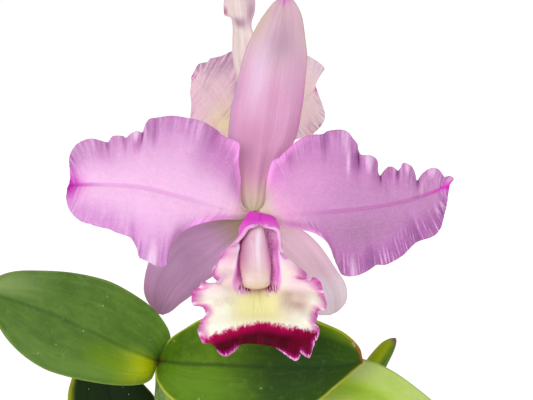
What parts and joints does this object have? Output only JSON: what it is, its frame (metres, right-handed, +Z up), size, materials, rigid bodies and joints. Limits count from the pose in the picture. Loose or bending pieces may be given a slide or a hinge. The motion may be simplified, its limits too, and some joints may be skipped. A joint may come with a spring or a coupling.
{
  "type": "cattleya orchid",
  "caption": "Potted orchid in flower: ruffled pink petals and a frilled, dark-edged lip over thick leaves on swollen stems, standing in a plain clay pot of bark.",
  "frame": {"origin": "centre of the pot's flat base", "axes": "+Z up, +X to the viewer's right, the open flower faces -Y and a little up"},
  "size_m": [0.1867, 0.1447, 0.3202],
  "materials": {
    "petal": "soft satin",
    "sepal": "soft satin",
    "lip": "soft satin",
    "column": "waxy",
    "leaf": "waxy",
    "light_leaf": "waxy",
    "dark_leaf": "waxy",
    "stem": "satin",
    "rhizome": "dull",
    "bark": "rough",
    "pot": "rough, unglazed"
  },
  "bodies": {
    "root": {"pot": "pot", "bark_medium": "bark", "rhizome": "rhizome", "pseudobulb_a": "stem", "pseudobulb_b": "stem", "pseudobulb_c": "stem", "young_shoot": "stem", "flower_stem": "stem", "left_leaf": "leaf", "centre_leaf": "leaf", "light_leaf": "light_leaf", "dark_leaf": "dark_leaf", "front_dorsal_sepal": "sepal", "front_left_lateral_sepal": "sepal", "front_right_lateral_sepal": "sepal", "front_left_petal": "petal", "front_right_petal": "petal", "front_lip": "lip", "front_column": "column", "rear_dorsal_sepal": "sepal", "rear_left_lateral_sepal": "sepal", "rear_right_lateral_sepal": "sepal", "rear_left_petal": "petal", "rear_right_petal": "petal", "rear_lip": "lip", "rear_column": "column"}
  },
  "joints": []
}
